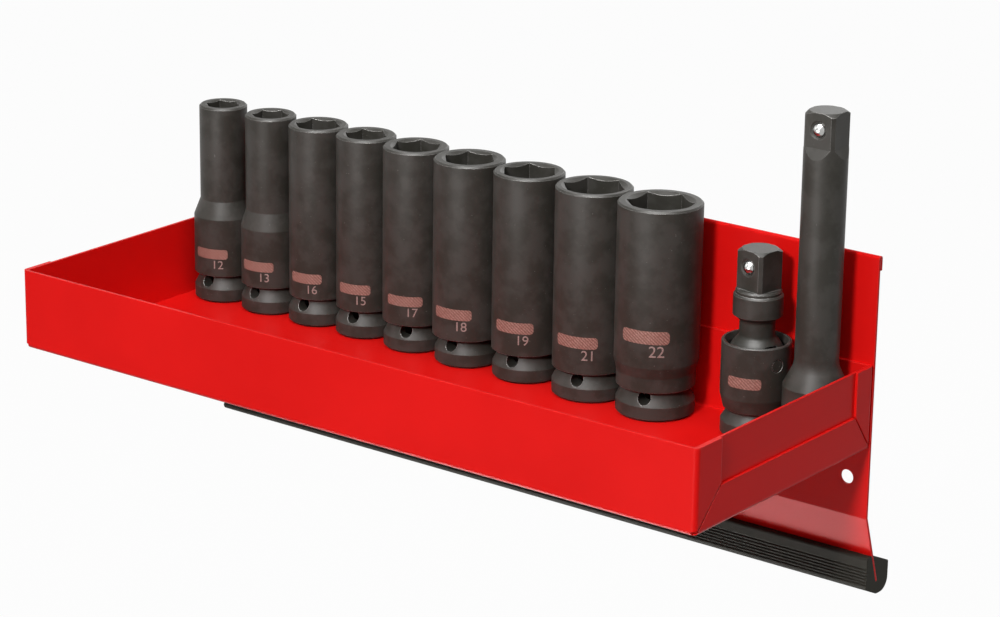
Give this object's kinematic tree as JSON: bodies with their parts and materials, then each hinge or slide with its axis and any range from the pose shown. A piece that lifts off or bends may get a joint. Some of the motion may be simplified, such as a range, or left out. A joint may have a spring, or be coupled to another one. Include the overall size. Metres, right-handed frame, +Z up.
{
  "type": "socket shelf tray",
  "caption": "Hung sheet-metal shelf tray with a rubber-edged back plate, holding a row of deep impact sockets, a universal joint and an extension bar.",
  "frame": {"origin": "midway between the two fixing holes, on the rear face of the back plate", "axes": "+X to the right seen from the front, along the tray; +Y from the front to the wall; +Z up"},
  "size_m": [0.321, 0.1318, 0.1886],
  "materials": {
    "red_powder_coat": "glossy powder coat",
    "black_rubber": "satin rubber with fine ribs",
    "black_steel": "black phosphate, oiled satin",
    "bright_steel": "polished ball steel"
  },
  "bodies": {
    "tray": {"tray_pan": "red_powder_coat", "end_plate_left": "red_powder_coat", "end_plate_right": "red_powder_coat", "back_plate": "red_powder_coat", "edge_trim": "black_rubber"},
    "socket_12": {"socket_12": "black_steel"},
    "socket_13": {"socket_13": "black_steel"},
    "socket_16": {"socket_16": "black_steel"},
    "socket_15": {"socket_15": "black_steel"},
    "socket_17": {"socket_17": "black_steel"},
    "socket_18": {"socket_18": "black_steel"},
    "socket_19": {"socket_19": "black_steel"},
    "socket_21": {"socket_21": "black_steel"},
    "socket_22": {"socket_22": "black_steel"},
    "joint_cup": {"joint_cup": "black_steel"},
    "joint_pin": {"joint_cross_pin": "black_steel"},
    "joint_head": {"joint_drive_head": "black_steel", "joint_detent_spring": "bright_steel"},
    "joint_ball": {"joint_detent_ball": "bright_steel"},
    "extension": {"extension_bar": "black_steel", "extension_detent_spring": "bright_steel"},
    "extension_ball": {"extension_detent_ball": "bright_steel"}
  },
  "joints": [
    {"name": "socket_12_lift", "type": "slide", "parent": "tray", "child": "socket_12", "axis": [0, 0, 1], "range_m": [0, 0.09]},
    {"name": "socket_13_lift", "type": "slide", "parent": "tray", "child": "socket_13", "axis": [0, 0, 1], "range_m": [0, 0.09]},
    {"name": "socket_16_lift", "type": "slide", "parent": "tray", "child": "socket_16", "axis": [0, 0, 1], "range_m": [0, 0.09]},
    {"name": "socket_15_lift", "type": "slide", "parent": "tray", "child": "socket_15", "axis": [0, 0, 1], "range_m": [0, 0.09]},
    {"name": "socket_17_lift", "type": "slide", "parent": "tray", "child": "socket_17", "axis": [0, 0, 1], "range_m": [0, 0.09]},
    {"name": "socket_18_lift", "type": "slide", "parent": "tray", "child": "socket_18", "axis": [0, 0, 1], "range_m": [0, 0.09]},
    {"name": "socket_19_lift", "type": "slide", "parent": "tray", "child": "socket_19", "axis": [0, 0, 1], "range_m": [0, 0.09]},
    {"name": "socket_21_lift", "type": "slide", "parent": "tray", "child": "socket_21", "axis": [0, 0, 1], "range_m": [0, 0.09]},
    {"name": "socket_22_lift", "type": "slide", "parent": "tray", "child": "socket_22", "axis": [0, 0, 1], "range_m": [0, 0.09]},
    {"name": "joint_lift", "type": "slide", "parent": "tray", "child": "joint_cup", "axis": [0, 0, 1], "range_m": [0, 0.09]},
    {"name": "joint_turn_on_pin", "type": "hinge", "parent": "joint_cup", "child": "joint_pin", "pos_m": [0.1188, -0.0153, 0.0435], "axis": [0.9397, -0.342, 0], "range_deg": [-6, 20]},
    {"name": "joint_lean_across_pin", "type": "hinge", "parent": "joint_pin", "child": "joint_head", "pos_m": [0.1188, -0.0153, 0.0435], "axis": [-0.342, -0.9397, 0], "range_deg": [-12, 12]},
    {"name": "joint_detent_press", "type": "slide", "parent": "joint_head", "child": "joint_ball", "axis": [-0.1736, -0.9848, 0], "range_m": [-0.0012, 0], "stiffness_N_per_m": 2000, "springref_m": 0.001, "deforming": ["joint_detent_spring"]},
    {"name": "extension_lift", "type": "slide", "parent": "tray", "child": "extension", "axis": [0, 0, 1], "range_m": [0, 0.09]},
    {"name": "extension_detent_press", "type": "slide", "parent": "extension", "child": "extension_ball", "axis": [0.0436, -0.999, 0], "range_m": [-0.0012, 0], "stiffness_N_per_m": 2000, "springref_m": 0.001, "deforming": ["extension_detent_spring"]}
  ]
}
